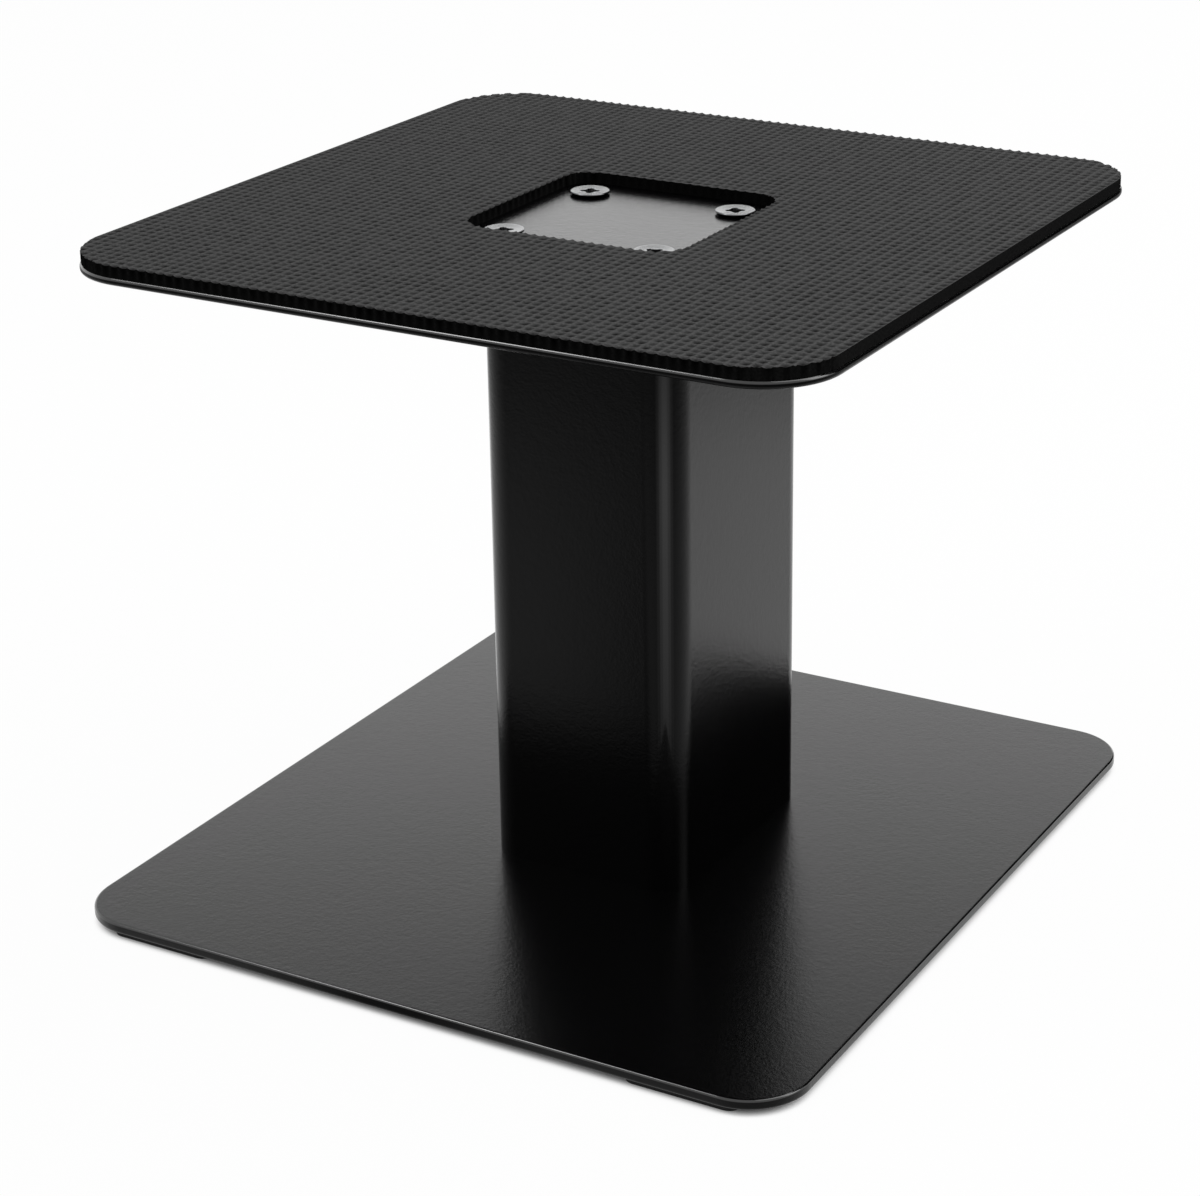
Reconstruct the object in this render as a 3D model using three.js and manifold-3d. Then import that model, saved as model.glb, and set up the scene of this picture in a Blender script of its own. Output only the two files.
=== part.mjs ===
// A low desktop speaker stand: a square steel top plate with a glued anti-slip pad, a rectangular tube
// column with a welded cap at each end, and a heavier base plate on four thin foot pads. Countersunk
// cross-recess machine screws hold each plate to the cap that it meets.
// Millimetres, +Z up, the front faces -Y. The origin is on the floor, under the middle of the base.

import * as THREE from "three";
import { mergeVertices } from "three/addons/utils/BufferGeometryUtils.js";
import Module from "manifold-3d";

const wasm = await Module();
wasm.setup();

// ---- driving dimensions -------------------------------------------------------------------------

// Heights, from the floor up.
const FOOT_THICKNESS = 2;
const BASE_THICKNESS = 3;
const COLUMN_HEIGHT = 189.25;
const TOP_THICKNESS = 2.25;
const PAD_THICKNESS = 3.5;

// Plates: width along X, depth along Y, corner radius seen from above, and the rounding of the edges.
const BASE = { width: 231.5, depth: 253.7, corner: 18, edge: 0.7 };
const TOP = { width: 230, depth: 230, corner: 22, edge: 0.9 };

// Pad: how far it stays inside the top plate's outline, and its cut-out.
const PAD_INSET = 0.4;
const CUT_OUT = { width: 69.5, depth: 68, corner: 9, x: 1.3, y: -1.2 };

// Column: a rectangular tube that stands a little right of and behind the middle, and its two caps.
const TUBE = { width: 64.6, depth: 82.5, corner: 10, wall: 1.5, x: 4.3, y: 4.5 };
const CAP_THICKNESS = 5;
const VENT_RADIUS = 8;

// Screws: M6 countersunk, 90 degree cone, cross recess.
const SCREW = { head: 5.9, rim: 0.4, break: 0.15, shank: 3, length: 12, tip: 0.7 };
const RECESS = { span: 4.8, floor: 2.8, blade: 1.1, core: 1.9, coreFloor: 1.3, depth: 2.4 };
const TOP_SCREWS = { spacingX: 48.4, spacingY: 48.4, x: 1.7, y: -3.4, proud: 1.25 };
const BASE_SCREWS = { spacingX: 38, spacingY: 56, x: TUBE.x, y: TUBE.y, proud: 0.5 };
const SCREW_CLEARANCE = 0.1;

// Foot pads: square, with a small corner radius. The place is that of the middle of each pad.
const FOOT = { side: 34, corner: 3, x: 85, y: 107.9 };

// Smoothness of the curves: points on a quarter turn are twice ARC_STEPS.
const ARC_STEPS = 5;
const EDGE_STEPS = 2;
const ROUND_STEPS = 28;

// ---- levels that follow from them ---------------------------------------------------------------

const BASE_UNDERSIDE = FOOT_THICKNESS;
const BASE_FACE = BASE_UNDERSIDE + BASE_THICKNESS;
const COLUMN_TOP = BASE_FACE + COLUMN_HEIGHT;
const TOP_FACE = COLUMN_TOP + TOP_THICKNESS;

// ---- finishes -----------------------------------------------------------------------------------

const powderCoat = () => new THREE.MeshStandardMaterial({ color: 0x1b1b1c, roughness: 0.42, metalness: 0 });
const padRubber = () => new THREE.MeshStandardMaterial({ color: 0x262627, roughness: 0.85, metalness: 0 });
const footRubber = () => new THREE.MeshStandardMaterial({ color: 0x151515, roughness: 0.9, metalness: 0 });
const screwSteel = () => new THREE.MeshStandardMaterial({ color: 0x8e8f92, roughness: 0.3, metalness: 1 });

// ---- shapes -------------------------------------------------------------------------------------

// A rectangle with quarter-round corners, drawn anticlockwise about (x, y).
function roundedRectangle(Curve, { width, depth, corner, x = 0, y = 0 }) {
  const right = x + width / 2 - corner;
  const back = y + depth / 2 - corner;
  const left = x - width / 2 + corner;
  const front = y - depth / 2 + corner;
  const outline = new Curve();
  outline.moveTo(right, front - corner);
  outline.absarc(right, front, corner, -Math.PI / 2, 0, false);
  outline.absarc(right, back, corner, 0, Math.PI / 2, false);
  outline.absarc(left, back, corner, Math.PI / 2, Math.PI, false);
  outline.absarc(left, front, corner, Math.PI, 1.5 * Math.PI, false);
  outline.closePath();
  return outline;
}

// A flat sheet of one outline, from bottom up, its long edges rounded by edge where one is given.
function sheet(outline, bottom, thickness, edge = 0) {
  const made = new THREE.ExtrudeGeometry(outline, {
    depth: thickness - 2 * edge,
    curveSegments: ARC_STEPS,
    bevelEnabled: edge > 0,
    bevelThickness: edge,
    bevelSize: edge,
    bevelOffset: -edge,
    bevelSegments: EDGE_STEPS,
  });
  return made.translate(0, 0, bottom + edge);
}

// A body of revolution about Z from [radius, height] pairs that run from its lower end to its upper end.
function turned(pairs, steps = ROUND_STEPS) {
  const profile = pairs.map(([radius, height]) => new THREE.Vector2(radius, height));
  return new THREE.LatheGeometry(profile, steps).rotateX(Math.PI / 2);
}

// Four places on a rectangle, named by where they are on the stand.
function fourPlaces({ spacingX, spacingY, x, y }) {
  const sides = [["left", -1], ["right", 1]];
  const ends = [["front", -1], ["rear", 1]];
  return ends.flatMap(([end, sy]) =>
    sides.map(([side, sx]) => ({
      name: `${end}_${side}`,
      x: x + (sx * spacingX) / 2,
      y: y + (sy * spacingY) / 2,
    })),
  );
}

// ---- cutting ------------------------------------------------------------------------------------

// A closed geometry as a solid that can be cut and joined.
function solid(geometry) {
  const bare = geometry.clone();
  bare.deleteAttribute("normal");
  bare.deleteAttribute("uv");
  const merged = mergeVertices(bare, 1e-4);
  return new wasm.Manifold(
    new wasm.Mesh({
      numProp: 3,
      vertProperties: merged.attributes.position.array,
      triVerts: new Uint32Array(merged.index.array),
    }),
  );
}

// A solid back as a geometry with flat shading.
function geometryOf(body) {
  const mesh = body.getMesh();
  const indexed = new THREE.BufferGeometry();
  indexed.setAttribute("position", new THREE.BufferAttribute(mesh.vertProperties, 3));
  indexed.setIndex(new THREE.BufferAttribute(mesh.triVerts, 1));
  const flat = indexed.toNonIndexed();
  flat.computeVertexNormals();
  return flat;
}

// The first geometry with all the others cut out of it.
function cut(geometry, cutters) {
  return geometryOf(cutters.reduce((body, cutter) => body.subtract(solid(cutter)), solid(geometry)));
}

// ---- screws and their holes ---------------------------------------------------------------------

const CONE = SCREW.head - SCREW.shank;

// How far the cutters of the recess reach past the head's face.
const RECESS_OVER = 0.5;

// One arm pair of the cross recess: a blade that narrows towards the floor of the recess.
function recessBlade(turn) {
  const slope = (RECESS.span - RECESS.floor) / 2 / RECESS.depth;
  const half = RECESS.span / 2 + slope * RECESS_OVER;
  const side = new THREE.Shape();
  side.moveTo(-RECESS.floor / 2, -RECESS.depth);
  side.lineTo(RECESS.floor / 2, -RECESS.depth);
  side.lineTo(half, RECESS_OVER);
  side.lineTo(-half, RECESS_OVER);
  side.closePath();
  const blade = new THREE.ExtrudeGeometry(side, { depth: RECESS.blade, bevelEnabled: false });
  blade.translate(0, 0, -RECESS.blade / 2);
  return blade.rotateX(Math.PI / 2).rotateZ(turn);
}

// The core of the cross recess: four slanting walls between the arms, with their edges in the arms.
function recessCore() {
  const slope = (RECESS.core - RECESS.coreFloor) / RECESS.depth;
  const walls = [
    [0, -RECESS.depth],
    [RECESS.coreFloor, -RECESS.depth],
    [RECESS.core + slope * RECESS_OVER, RECESS_OVER],
    [0, RECESS_OVER],
  ];
  return turned(walls, 4);
}

// A countersunk screw with the flat of its head at height 0 and its shank below.
function screwGeometry() {
  const shankEnd = -SCREW.length;
  const body = turned([
    [0, shankEnd],
    [SCREW.shank - SCREW.tip, shankEnd],
    [SCREW.shank, shankEnd + SCREW.tip],
    [SCREW.shank, -SCREW.rim - CONE],
    [SCREW.head, -SCREW.rim],
    [SCREW.head, -SCREW.break],
    [SCREW.head - SCREW.break, 0],
    [0, 0],
  ]);
  return cut(body, [recessBlade(0), recessBlade(Math.PI / 2), recessCore()]);
}

// The room that a screw needs in a plate: its own cone and shank with a little clearance all round.
// The plate's face is at height 0 and the head stands proud of it.
function countersink(proud, thickness) {
  const coneEnd = proud - SCREW.rim - CONE;
  const narrow = SCREW.shank + SCREW_CLEARANCE;
  const over = 1;
  return turned([
    [0, -thickness - over],
    [narrow, -thickness - over],
    [narrow, coneEnd],
    [narrow + over - coneEnd, over],
    [0, over],
  ]);
}

// A straight hole through a sheet that reaches from bottom up.
function straightHole(radius, bottom, thickness, { x, y }) {
  const over = 1;
  return turned([
    [0, bottom - over],
    [radius, bottom - over],
    [radius, bottom + thickness + over],
    [0, bottom + thickness + over],
  ]).translate(x, y, 0);
}

// ---- the sub-parts ------------------------------------------------------------------------------

function topPlate() {
  const plate = sheet(roundedRectangle(THREE.Shape, TOP), COLUMN_TOP, TOP_THICKNESS, TOP.edge);
  const holes = fourPlaces(TOP_SCREWS).map(({ x, y }) =>
    countersink(TOP_SCREWS.proud, TOP_THICKNESS).translate(x, y, TOP_FACE),
  );
  return cut(plate, holes);
}

function basePlate() {
  const plate = sheet(roundedRectangle(THREE.Shape, BASE), BASE_UNDERSIDE, BASE_THICKNESS, BASE.edge);
  const holes = fourPlaces(BASE_SCREWS).map(({ x, y }) =>
    countersink(BASE_SCREWS.proud, BASE_THICKNESS).rotateX(Math.PI).translate(x, y, BASE_UNDERSIDE),
  );
  return cut(plate, holes);
}

// The pad follows the plate's outline a little inside it, with the cut-out through its middle.
function topPad() {
  const outline = roundedRectangle(THREE.Shape, {
    width: TOP.width - 2 * PAD_INSET,
    depth: TOP.depth - 2 * PAD_INSET,
    corner: TOP.corner - PAD_INSET,
  });
  outline.holes.push(roundedRectangle(THREE.Path, CUT_OUT));
  return sheet(outline, TOP_FACE, PAD_THICKNESS);
}

// The tube runs between the two caps, which share its outline.
function columnTube() {
  const outline = roundedRectangle(THREE.Shape, TUBE);
  const bore = {
    ...TUBE,
    width: TUBE.width - 2 * TUBE.wall,
    depth: TUBE.depth - 2 * TUBE.wall,
    corner: TUBE.corner - TUBE.wall,
  };
  outline.holes.push(roundedRectangle(THREE.Path, bore));
  return sheet(outline, BASE_FACE + CAP_THICKNESS, COLUMN_HEIGHT - 2 * CAP_THICKNESS);
}

// A cap closes one end of the tube: four tapped holes for the screws, and a vent for the coating oven.
function columnCap(bottom, screws) {
  const plate = sheet(roundedRectangle(THREE.Shape, TUBE), bottom, CAP_THICKNESS);
  const tapped = fourPlaces(screws).map((place) =>
    straightHole(SCREW.shank + SCREW_CLEARANCE, bottom, CAP_THICKNESS, place),
  );
  return cut(plate, [...tapped, straightHole(VENT_RADIUS, bottom, CAP_THICKNESS, TUBE)]);
}

function footPad({ x, y }) {
  const outline = roundedRectangle(THREE.Shape, { width: FOOT.side, depth: FOOT.side, corner: FOOT.corner });
  return sheet(outline, 0, FOOT_THICKNESS).translate(x, y, 0);
}

// ---- the assembly -------------------------------------------------------------------------------

const stand = new THREE.Group();

function add(name, geometry, material, { x = 0, y = 0, z = 0 } = {}) {
  const mesh = new THREE.Mesh(geometry, material);
  mesh.name = name;
  mesh.position.set(x, y, z);
  stand.add(mesh);
  return mesh;
}

add("base_plate", basePlate(), powderCoat());
add("lower_cap", columnCap(BASE_FACE, BASE_SCREWS), powderCoat());
add("column_tube", columnTube(), powderCoat());
add("upper_cap", columnCap(COLUMN_TOP - CAP_THICKNESS, TOP_SCREWS), powderCoat());
add("top_plate", topPlate(), powderCoat());
add("top_pad", topPad(), padRubber());

for (const place of fourPlaces({ spacingX: 2 * FOOT.x, spacingY: 2 * FOOT.y, x: 0, y: 0 }))
  add(`foot_pad_${place.name}`, footPad(place), footRubber());

for (const { name, x, y } of fourPlaces(TOP_SCREWS))
  add(`top_screw_${name}`, screwGeometry(), screwSteel(), { x, y, z: TOP_FACE + TOP_SCREWS.proud });

for (const { name, x, y } of fourPlaces(BASE_SCREWS)) {
  const z = BASE_UNDERSIDE - BASE_SCREWS.proud;
  add(`base_screw_${name}`, screwGeometry(), screwSteel(), { x, y, z }).rotation.x = Math.PI;
}

export default stand;
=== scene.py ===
"""A low desktop speaker stand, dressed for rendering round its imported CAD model.

The sections follow the stand as it is put together, from the floor up: the studio, the base plate, the
foot pads, the welded column, the top plate, the screws, and the anti-slip pad that is glued on last.
Lengths are in metres, +Z is up and the front faces -Y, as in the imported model.
"""

import math

import bmesh
import bpy
from mathutils import Matrix, Vector


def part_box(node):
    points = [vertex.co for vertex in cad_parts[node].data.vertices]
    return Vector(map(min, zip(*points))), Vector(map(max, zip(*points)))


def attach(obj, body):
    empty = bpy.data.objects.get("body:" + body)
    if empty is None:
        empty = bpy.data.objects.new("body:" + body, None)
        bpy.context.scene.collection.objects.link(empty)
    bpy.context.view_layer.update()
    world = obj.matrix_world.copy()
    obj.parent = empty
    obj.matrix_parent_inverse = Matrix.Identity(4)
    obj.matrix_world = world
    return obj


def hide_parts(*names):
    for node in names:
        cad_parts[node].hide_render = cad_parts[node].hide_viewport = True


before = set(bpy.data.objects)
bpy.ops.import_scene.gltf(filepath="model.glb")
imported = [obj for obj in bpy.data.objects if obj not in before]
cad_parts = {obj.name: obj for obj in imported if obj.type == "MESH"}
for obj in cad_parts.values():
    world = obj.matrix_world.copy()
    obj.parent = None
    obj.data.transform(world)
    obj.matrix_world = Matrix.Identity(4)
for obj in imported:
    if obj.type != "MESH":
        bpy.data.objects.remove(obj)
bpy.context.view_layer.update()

MM = 0.001


# ---- studio -------------------------------------------------------------------------------------
# A white table in a light tent: a large softbox over the stand, a low one behind it that the level faces
# mirror, a high one behind and one at the left for the lines of light along the plates' edges, a weak
# fill at the right, and a black flag that only mirrors see. The camera stands to the front right.

IMAGE_WIDTH = 1200  # pixels of the photograph's frame
SENSOR_WIDTH = 36  # mm
FOCAL_PIXELS = 1940.53  # focal length that fits the photograph, for that width
ENLARGED = 1.55  # one stand fills the frame, where the photograph shows two
CENTRE_SHIFT = (-43, 78)  # pixels from the photograph's optical centre to the stand, across and down
VIEW_AZIMUTH, VIEW_ELEVATION, VIEW_ROLL = 28.96, 20.14, -0.44  # degrees
VIEW_DISTANCE, VIEW_RIGHT, VIEW_UP = 896.45 * MM, 12.36 * MM, 21.45 * MM
VIEW_HEIGHT = 95 * MM

scene = bpy.context.scene
scene.view_settings.view_transform = "Standard"


def add_node(tree, kind, inputs=None, **settings):
    """A new node with its settings, and its inputs set to values or wired from other nodes' sockets."""
    made = tree.nodes.new(kind)
    for key, value in settings.items():
        setattr(made, key, value)
    for key, value in (inputs or {}).items():
        if isinstance(value, bpy.types.NodeSocket):
            tree.links.new(value, made.inputs[key])
        else:
            made.inputs[key].default_value = value
    return made


def calc(tree, operation, *values):
    """One step of arithmetic in a node tree."""
    return add_node(tree, "ShaderNodeMath", dict(enumerate(values)), operation=operation).outputs[0]


def ramp(tree, value, start, end, first, last):
    """A value that goes from first to last while another goes from start to end, and no further."""
    return add_node(tree, "ShaderNodeMapRange", {0: value, 1: start, 2: end, 3: first, 4: last}).outputs[0]


def empty_tree(owner):
    """The node tree of a new material or world, with nothing in it."""
    owner.use_nodes = True
    owner.node_tree.nodes.clear()
    return owner.node_tree


def seen_directly(tree):
    """1 where the camera, a mirror or a glass looks, and 0 where light bounces."""
    rays = add_node(tree, "ShaderNodeLightPath")
    mirrored = calc(tree, "MAXIMUM", rays.outputs["Is Glossy Ray"], rays.outputs["Is Transmission Ray"])
    return calc(tree, "MAXIMUM", mirrored, rays.outputs["Is Camera Ray"])


def softbox(name, place, aim, size, watts):
    """A rectangular area lamp that looks from its place at a point."""
    lamp = bpy.data.lights.new(name, "AREA")
    lamp.shape = "RECTANGLE"
    lamp.size, lamp.size_y = size
    lamp.energy = watts
    held = bpy.data.objects.new(name, lamp)
    turn = (Vector(aim) - Vector(place)).to_track_quat("-Z", "Y")
    held.matrix_world = Matrix.LocRotScale(Vector(place), turn, None)
    held.visible_camera = False
    scene.collection.objects.link(held)


def look_from(azimuth, elevation, roll):
    """The camera's right, up and back axes, level and then rolled, as columns of two matrices."""
    a, e, r = (math.radians(angle) for angle in (azimuth, elevation, roll))
    back = Vector((math.sin(a) * math.cos(e), -math.cos(a) * math.cos(e), math.sin(e)))
    right = Vector((math.cos(a), math.sin(a), 0))
    up = back.cross(right)
    level = Matrix((right, up, back)).transposed()
    rolled_right = right * math.cos(r) + up * math.sin(r)
    rolled_up = up * math.cos(r) - right * math.sin(r)
    return level, Matrix((rolled_right, rolled_up, back)).transposed()


level_axes, rolled_axes = look_from(VIEW_AZIMUTH, VIEW_ELEVATION, VIEW_ROLL)
camera_data = bpy.data.cameras.new("camera")
camera_data.sensor_width = SENSOR_WIDTH
camera_data.lens = FOCAL_PIXELS * ENLARGED * SENSOR_WIDTH / IMAGE_WIDTH
camera_data.shift_x, camera_data.shift_y = (
    CENTRE_SHIFT[0] * ENLARGED / IMAGE_WIDTH,
    -CENTRE_SHIFT[1] * ENLARGED / IMAGE_WIDTH,
)
camera = bpy.data.objects.new("camera", camera_data)
camera_place = Vector((0, 0, VIEW_HEIGHT)) + level_axes @ Vector((VIEW_RIGHT, VIEW_UP, VIEW_DISTANCE))
camera.matrix_world = Matrix.Translation(camera_place) @ rolled_axes.to_4x4()
scene.collection.objects.link(camera)
scene.camera = camera

FLOOR_SIZE = 12.0
FLOOR_GREY = 0.82
FLOOR_GLOW = 0.97  # how much of the open floor's white is its own where it is seen
SHADE_REACH = 10 * MM  # near what stands on it the floor loses that glow, so that its shadows show
SHADE_FROM, SHADE_TO, SHADE_SAMPLES = 0.1, 0.6, 16
FADE_FROM, FADE_TO, FADED = 0.4, 0.6, 0.3  # mirrors see the glow fade to this share between two distances
STRIP_ACROSS = (0.875, -0.485, 0)  # and a strip of painted shade in front of the stand that only mirrors see, where the photographer stood
STRIP_FROM, STRIP_EDGE, STRIP_TO, STRIP_GLOW = 0.015, 0.035, 0.1, 0.3
ROOM_LIGHT = 0.25

bpy.ops.mesh.primitive_plane_add(size=FLOOR_SIZE)
floor = bpy.context.object
floor.name = "floor"
floor_paint = bpy.data.materials.new("white_table")
tree = empty_tree(floor_paint)
matt = add_node(tree, "ShaderNodeBsdfDiffuse", {"Color": (FLOOR_GREY, FLOOR_GREY, FLOOR_GREY, 1)})
place = add_node(tree, "ShaderNodeTexCoord").outputs["Object"]
away = add_node(tree, "ShaderNodeVectorMath", {0: place}, operation="LENGTH").outputs["Value"]
faded = ramp(tree, away, FADE_FROM, FADE_TO, 1.0, FADED)
across = add_node(tree, "ShaderNodeVectorMath", {0: place, 1: STRIP_ACROSS}, operation="DOT_PRODUCT")
edges = (
    ramp(tree, across.outputs["Value"], STRIP_FROM, STRIP_FROM + STRIP_EDGE, 1.0, STRIP_GLOW),
    ramp(tree, across.outputs["Value"], STRIP_TO - STRIP_EDGE, STRIP_TO, STRIP_GLOW, 1.0),
)
behind = calc(tree, "GREATER_THAN", add_node(tree, "ShaderNodeSeparateXYZ", {0: place}).outputs["Y"], 0.0)
strip = calc(tree, "MAXIMUM", calc(tree, "MAXIMUM", *edges), behind)
rays = add_node(tree, "ShaderNodeLightPath")
strength = calc(tree, "MAXIMUM", calc(tree, "MULTIPLY", faded, strip), rays.outputs["Is Camera Ray"])
glow = add_node(tree, "ShaderNodeEmission", {"Color": (1, 1, 1, 1), "Strength": strength})
nearby = add_node(tree, "ShaderNodeAmbientOcclusion", {"Distance": SHADE_REACH}, samples=SHADE_SAMPLES)
opened = ramp(tree, nearby.outputs["AO"], SHADE_FROM, SHADE_TO, 0.0, FLOOR_GLOW)
share = calc(tree, "MULTIPLY", seen_directly(tree), opened)
mixed = add_node(tree, "ShaderNodeMixShader", {0: share, 1: matt.outputs[0], 2: glow.outputs[0]})
add_node(tree, "ShaderNodeOutputMaterial", {"Surface": mixed.outputs[0]})
floor.data.materials.append(floor_paint)

world = bpy.data.worlds.new("light_tent")
scene.world = world
tree = empty_tree(world)
dim = add_node(tree, "ShaderNodeBackground", {"Color": (1, 1, 1, 1), "Strength": ROOM_LIGHT})
white = add_node(tree, "ShaderNodeBackground", {"Color": (1, 1, 1, 1), "Strength": 1.0})
share = seen_directly(tree)
mixed = add_node(tree, "ShaderNodeMixShader", {0: share, 1: dim.outputs[0], 2: white.outputs[0]})
add_node(tree, "ShaderNodeOutputWorld", {"Surface": mixed.outputs[0]})

MIDDLE = (0, 0, 0.1)  # of the stand
softbox("softbox_above", place=(0.55, 0.5, 1.25), aim=MIDDLE, size=(1.6, 1.5), watts=13)
softbox("softbox_behind", place=(-0.76, 1.29, 0.56), aim=(0, 0, 0.2), size=(1.8, 0.45), watts=1.8)
softbox("softbox_right", place=(1.5, 0.3, 0.9), aim=MIDDLE, size=(0.8, 1.2), watts=6)
softbox("softbox_left", place=(-0.72, -0.58, 1.3), aim=MIDDLE, size=(0.4, 0.4), watts=4.5)
softbox("softbox_far", place=(0.05, 1.25, 1.1), aim=MIDDLE, size=(0.22, 0.6), watts=3.5)

FLAG_PLACE = (0.42, 0.72, 0.5)  # behind and to the right, where the column's right face looks off the base
FLAG_SIZE = 1.0
FLAG_BLACK = (0.003, 0.003, 0.003, 1)
bpy.ops.mesh.primitive_plane_add(size=FLAG_SIZE)
flag = bpy.context.object
flag.name = "black_flag"
flag.matrix_world = Matrix.LocRotScale(FLAG_PLACE, Vector(FLAG_PLACE).to_track_quat("Z", "Y"), None)
flag_cloth = bpy.data.materials.new("black_cloth")
tree = empty_tree(flag_cloth)
cloth = add_node(tree, "ShaderNodeBsdfDiffuse", {"Color": FLAG_BLACK})
add_node(tree, "ShaderNodeOutputMaterial", {"Surface": cloth.outputs[0]})
flag.data.materials.append(flag_cloth)
flag.visible_camera = flag.visible_diffuse = flag.visible_shadow = False


# ---- base plate ---------------------------------------------------------------------------------
# A 3 mm steel plate, laser cut and deburred so that its edges are rounded over, with four countersunk
# holes in its underside. It is powder coated satin black, as every steel part of the stand is.

COAT_BLACK = (0.0006, 0.0006, 0.0007, 1)
COAT_ROUGHNESS = 0.22
GLINT_ROUGHNESS = 0.08  # painted highlight: a smooth clear coat laid only where the glint mask is, on edges and corners
COAT_INDEX = 1.6
COAT_FACING = 0.135  # how much of the shine is left where a flat face is looked at straight on
BASE = {"width": 231.5 * MM, "depth": 253.7 * MM, "corner": 18 * MM}
BASE_EDGE = 0.7 * MM
CORNER_STEPS = 20  # faces round a quarter of a plate's corner
EDGE_STEPS = 5  # faces over a rounded edge
HOLE_STEPS = 48
GUARD = 0.35 * MM  # a narrow strip beside each rounding, so that the flat beyond it shades flat
SHARP = math.radians(30)
CLOUDS_PER_METRE = 22.0  # the slow change of gloss over a surface
EDGE_GLINT = (0.02, 0.98)  # the part of an upper edge's rounding that gets the painted highlight
SHANK_HOLE = 3.1 * MM
SCREW_RIM, SCREW_CONE = 0.4 * MM, 2.9 * MM  # the upright rim of a screw's head, and the cone under it
COLUMN_PLACE = {"x": 4.3 * MM, "y": 4.5 * MM}  # the column stands a little off the middle
BASE_SCREWS = {"across": 38 * MM, "along": 56 * MM, "proud": 0.5 * MM, **COLUMN_PLACE}


def outline(width, depth, corner, x=0.0, y=0.0, inset=0.0):
    """A rounded rectangle's points, anticlockwise, with guard points where its corners begin and end."""
    radius = corner - inset
    reach_x, reach_y = width / 2 - corner, depth / 2 - corner
    points = []
    for side_x, side_y, first in ((1, -1, -90), (1, 1, 0), (-1, 1, 90), (-1, -1, 180)):
        centre = Vector((x + side_x * reach_x, y + side_y * reach_y))
        for step in range(CORNER_STEPS + 1):
            angle = math.radians(first + 90 * step / CORNER_STEPS)
            across = Vector((math.cos(angle), math.sin(angle)))
            along = Vector((-across.y, across.x))
            point = centre + across * radius
            if step == 0:
                points.append(point - along * GUARD)
            points.append(point)
            if step == CORNER_STEPS:
                points.append(point + along * GUARD)
    return points


def ring(mesh, points, height, glints=()):
    """A closed loop of vertices at one height, and how much painted highlight each of them gets."""
    loop = [mesh.verts.new((point[0], point[1], height)) for point in points]
    for vert, painted_glint in zip(loop, glints):
        vert[mesh.verts.layers.float["painted_glint"]] = painted_glint
    return loop


def circle(radius, x, y, steps=HOLE_STEPS):
    """A circle's points, anticlockwise."""
    turns = (2 * math.pi * step / steps for step in range(steps))
    return [(x + radius * math.cos(turn), y + radius * math.sin(turn)) for turn in turns]


def skin(mesh, rings):
    """Faces between each ring and the next."""
    for low, high in zip(rings, rings[1:]):
        count = len(low)
        for i in range(count):
            j = (i + 1) % count
            mesh.faces.new((low[i], low[j], high[j], high[i]))


def lid(mesh, rings):
    """Flat faces inside the first ring and outside the others, which are its holes."""
    pairs = [(loop[i - 1], loop[i]) for loop in rings for i in range(len(loop))]
    edges = [mesh.edges.get(pair) or mesh.edges.new(pair) for pair in pairs]
    bmesh.ops.triangle_fill(mesh, use_beauty=True, use_dissolve=False, edges=edges)


def finished(mesh, name, material):
    """The mesh as an object at the origin: faces outwards, smooth over its roundings, sharp elsewhere."""
    bmesh.ops.recalc_face_normals(mesh, faces=mesh.faces)
    for face in mesh.faces:
        face.smooth = True
    for edge in mesh.edges:
        edge.smooth = edge.calc_face_angle(0) < SHARP
    data = bpy.data.meshes.new(name)
    mesh.to_mesh(data)
    mesh.free()
    data.materials.append(material)
    made = bpy.data.objects.new(name, data)
    scene.collection.objects.link(made)
    return made


def glinting_mesh():
    """An empty mesh whose vertices can be marked for the painted highlight."""
    mesh = bmesh.new()
    mesh.verts.layers.float.new("painted_glint")
    return mesh


def edge_profile(low, high, edge):
    """[inset, height] pairs that run out along the underside, up the side and in along the upper face."""
    turns = [math.radians(90 * step / EDGE_STEPS) for step in range(EDGE_STEPS + 1)]
    under = [(edge * (1 - math.sin(turn)), low + edge * (1 - math.cos(turn))) for turn in turns]
    over = [(edge * (1 - math.cos(turn)), high - edge * (1 - math.sin(turn))) for turn in turns]
    gap = min(GUARD, (high - low - 2 * edge) / 4)
    side = [(0, low + edge + gap), (0, high - edge - gap)]
    return [(edge + GUARD, low), *under, *side, *over, (edge + GUARD, high)]


def sheet(name, material, shape, low, high, edge=0.0, holes=(), glints=()):
    """A flat sheet with rounded corners. A hole is its centre and its [radius, height] pairs, going up."""
    mesh = glinting_mesh()
    profile = edge_profile(low, high, edge) if edge else [(0, low), (0, high)]
    rim = []
    for inset, height in profile:
        points = outline(**shape, inset=inset)
        # Painted highlight on the upper rounding only; the lower rounding is left without it and stays dark.
        rounded = edge and height > (low + high) / 2 and EDGE_GLINT[0] < inset / edge < EDGE_GLINT[1]
        rim.append(ring(mesh, points, height, [1.0] * len(points) if rounded else glints))
    skin(mesh, rim)
    bores = [[ring(mesh, circle(r, x, y), height) for r, height in pairs] for x, y, pairs in holes]
    for bore in bores:
        skin(mesh, bore)
    lid(mesh, [rim[0], *[bore[0] for bore in bores]])
    lid(mesh, [rim[-1], *[bore[-1] for bore in bores]])
    return finished(mesh, name, material)


def four_places(across, along, x, y, **_):
    """The four corners of a rectangle about a point."""
    return [(x + sx * across / 2, y + sy * along / 2) for sy in (-1, 1) for sx in (-1, 1)]


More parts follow.
